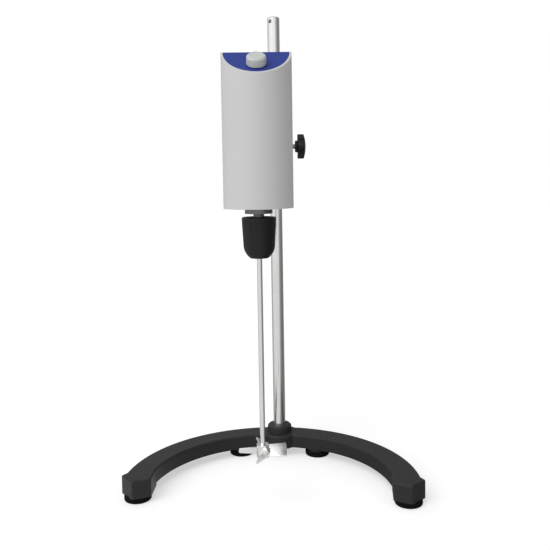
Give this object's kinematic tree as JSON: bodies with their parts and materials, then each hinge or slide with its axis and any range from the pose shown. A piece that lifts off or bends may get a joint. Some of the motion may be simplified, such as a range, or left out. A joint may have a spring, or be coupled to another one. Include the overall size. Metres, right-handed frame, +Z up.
{
  "type": "overhead stirrer",
  "caption": "Overhead laboratory stirrer: a motor head with speed knob, keyless chuck and propeller shaft, clamped by arm and boss head to a rod on a crescent cast base.",
  "frame": {"origin": "on the bench under the middle of the whole object's box", "axes": "+Z up along the rod; -Y is the way the head and its sloping control panel face; +X to the right seen from the front. The crescent base is turned 5.6 degrees clockwise, seen from above, under the head"},
  "size_m": [0.35, 0.2418, 0.5825],
  "materials": {
    "charcoal_casting": "matte, powder coated",
    "black_rubber": "matte",
    "stainless": "bright, drawn",
    "zinc_steel": "zinc plated",
    "blackened_steel": "satin, blackened",
    "boss_casting": "satin, painted casting",
    "brass": "machined",
    "black_plastic": "matte, moulded",
    "grey_shell": "smooth satin paint",
    "blue_cap": "smooth, slightly glossy",
    "grey_knob": "satin",
    "aluminium": "milled",
    "dark_flange": "dark, turned",
    "bearing_steel": "ground",
    "motor_steel": "drawn can",
    "ferrite": "sintered",
    "laminations": "stacked sheet",
    "copper": "turned copper",
    "carbon": "pressed carbon",
    "board_green": "solder mask",
    "seal_rubber": "moulded"
  },
  "bodies": {
    "stand": {"base_casting": "charcoal_casting", "rubber_feet": "black_rubber", "feet_screws": "zinc_steel"},
    "column": {"support_rod": "stainless", "rod_bolt": "zinc_steel", "rod_washer": "zinc_steel"},
    "boss": {"boss_head": "boss_casting"},
    "rod_pad": {"rod_clamp_pad": "brass"},
    "rod_clamp": {"rod_clamp_knob": "black_plastic", "rod_clamp_screw": "zinc_steel"},
    "arm_pad": {"arm_clamp_pad": "brass"},
    "arm_clamp": {"arm_clamp_knob": "black_plastic", "arm_clamp_screw": "zinc_steel"},
    "arm": {"support_arm": "stainless"},
    "head": {"arm_flange": "aluminium", "arm_flange_screws": "zinc_steel", "arm_set_screw": "blackened_steel", "housing_shell": "grey_shell", "top_cap": "blue_cap", "top_cap_screws": "blackened_steel", "rear_cover": "grey_shell", "rear_cover_screws": "zinc_steel", "bottom_plate": "grey_shell", "bottom_plate_screws": "zinc_steel", "chassis": "aluminium", "bearing_carrier": "dark_flange", "carrier_nut": "zinc_steel", "spindle_seal": "seal_rubber", "bearing_outer_rings": "bearing_steel", "motor_can": "motor_steel", "motor_end_cap": "black_plastic", "motor_magnets": "ferrite", "motor_brushes": "carbon", "motor_screws": "zinc_steel", "control_board": "board_green", "board_components": "black_plastic", "board_spacers": "zinc_steel", "potentiometer": "motor_steel", "pot_nut": "zinc_steel", "power_inlet": "black_plastic", "inlet_nut": "zinc_steel"},
    "rotor": {"motor_shaft": "stainless", "motor_armature": "laminations", "motor_commutator": "copper", "motor_pinion": "zinc_steel"},
    "speed_control": {"speed_knob": "grey_knob", "pot_shaft": "zinc_steel"},
    "spindle": {"spindle": "stainless", "bearing_inner_rings": "bearing_steel", "drive_gear": "brass", "gear_circlip": "blackened_steel", "chuck_body": "blackened_steel"},
    "chuck_ring": {"chuck_sleeve": "black_plastic", "chuck_nut": "zinc_steel"},
    "jaw_1": {"chuck_jaw_1": "zinc_steel"},
    "jaw_2": {"chuck_jaw_2": "zinc_steel"},
    "jaw_3": {"chuck_jaw_3": "zinc_steel"},
    "stirrer": {"stir_shaft": "stainless", "propeller": "stainless"}
  },
  "joints": [
    {"name": "head_swing", "type": "hinge", "parent": "stand", "child": "column", "pos_m": [0.01478, 0.08895, 0], "axis": [0, 0, 1], "continuous": true},
    {"name": "boss_height", "type": "slide", "parent": "column", "child": "boss", "axis": [0, 0, 1], "range_m": [-0.03, 0.13]},
    {"name": "rod_pad_travel", "type": "slide", "parent": "boss", "child": "rod_pad", "axis": [1, 0, 0], "range_m": [0, 0.0015]},
    {"name": "rod_clamp_turn", "type": "hinge", "parent": "rod_pad", "child": "rod_clamp", "pos_m": [0.01478, 0.08895, 0.4135], "axis": [1, 0, 0], "range_deg": [0, 540]},
    {"name": "arm_pad_travel", "type": "slide", "parent": "boss", "child": "arm_pad", "axis": [-1, 0, 0], "range_m": [0, 0.0015]},
    {"name": "arm_clamp_turn", "type": "hinge", "parent": "arm_pad", "child": "arm_clamp", "pos_m": [-0.00922, 0.08895, 0.4135], "axis": [-1, 0, 0], "range_deg": [0, 540]},
    {"name": "arm_reach", "type": "slide", "parent": "boss", "child": "arm", "axis": [0, 1, 0], "range_m": [-0.012, 0.08]},
    {"name": "head_roll", "type": "hinge", "parent": "arm", "child": "head", "pos_m": [-0.00922, -0.08245, 0.4135], "axis": [0, 1, 0], "range_deg": [-90, 90]},
    {"name": "speed_knob_turn", "type": "hinge", "parent": "head", "child": "speed_control", "pos_m": [-0.00922, -0.10565, 0.49301], "axis": [0, -0.5793, 0.8151], "range_deg": [-280, 0]},
    {"name": "spindle_spin", "type": "hinge", "parent": "head", "child": "spindle", "pos_m": [-0.00922, -0.08245, 0.3308], "axis": [0, 0, 1], "continuous": true},
    {"name": "rotor_spin", "type": "hinge", "parent": "head", "child": "rotor", "pos_m": [-0.00922, -0.0646, 0.3825], "axis": [0, 0, 1], "continuous": true},
    {"name": "chuck_turn", "type": "hinge", "parent": "spindle", "child": "chuck_ring", "pos_m": [-0.00922, -0.08245, 0.2855], "axis": [0, 0, 1], "range_deg": [0, 1080]},
    {"name": "jaw_1_travel", "type": "slide", "parent": "spindle", "child": "jaw_1", "axis": [0, 0.2588, 0.9659], "range_m": [0, 0.006]},
    {"name": "jaw_2_travel", "type": "slide", "parent": "spindle", "child": "jaw_2", "axis": [-0.2241, -0.1294, 0.9659], "range_m": [0, 0.006]},
    {"name": "jaw_3_travel", "type": "slide", "parent": "spindle", "child": "jaw_3", "axis": [0.2241, -0.1294, 0.9659], "range_m": [0, 0.006]},
    {"name": "shaft_depth", "type": "slide", "parent": "spindle", "child": "stirrer", "axis": [0, 0, 1], "range_m": [-0.025, 0]}
  ],
  "couplings": [
    {"joint": "rotor_spin", "follows": "spindle_spin", "ratio": -2.4},
    {"joint": "rod_clamp_turn", "follows": "rod_pad_travel", "rad_per_m": 6283.2},
    {"joint": "arm_clamp_turn", "follows": "arm_pad_travel", "rad_per_m": 6283.2},
    {"joint": "jaw_1_travel", "follows": "chuck_turn", "m_per_rad": 0.00031831},
    {"joint": "jaw_2_travel", "follows": "chuck_turn", "m_per_rad": 0.00031831},
    {"joint": "jaw_3_travel", "follows": "chuck_turn", "m_per_rad": 0.00031831}
  ]
}
